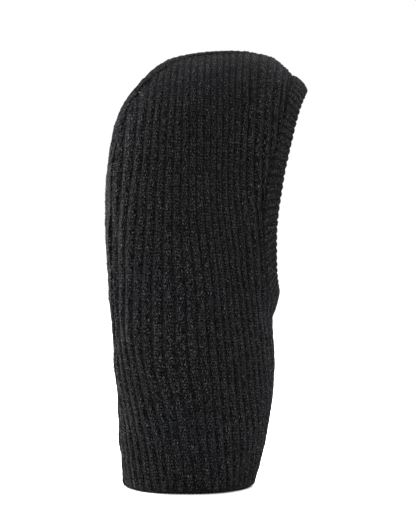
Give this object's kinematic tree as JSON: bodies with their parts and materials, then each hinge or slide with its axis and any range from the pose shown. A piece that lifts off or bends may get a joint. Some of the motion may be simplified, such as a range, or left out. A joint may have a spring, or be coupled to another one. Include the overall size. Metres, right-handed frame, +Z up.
{
  "type": "balaclava",
  "caption": "Rib-knit hood with a long neck and a ribbed band round a full face opening, open at the neck hem.",
  "frame": {"origin": "centre of the bounding box at the height of the neck hem, which lies flat on z = 0", "axes": "+Z up to the crown; the face opening looks along -Y; the wearer's left is +X"},
  "size_m": [0.1599, 0.1983, 0.4248],
  "materials": {
    "rib_knit": "matt marl wool",
    "seam_yarn": "matt wool",
    "label_satin": "soft satin",
    "sewing_thread": "matt thread"
  },
  "bodies": {
    "hood": {"right_panel": "rib_knit", "left_panel": "rib_knit", "face_band": "rib_knit", "crown_back_seam": "seam_yarn", "front_neck_seam": "seam_yarn", "face_band_seam": "seam_yarn", "band_join": "seam_yarn", "label_tack": "sewing_thread"},
    "label": {"care_label": "label_satin"}
  },
  "joints": [
    {"name": "care_label_turn", "type": "hinge", "parent": "hood", "child": "label", "pos_m": [0.00174, 0.07594, 0.03853], "axis": [0.0521, -0.0624, -0.9967], "range_deg": [0, 100]}
  ]
}
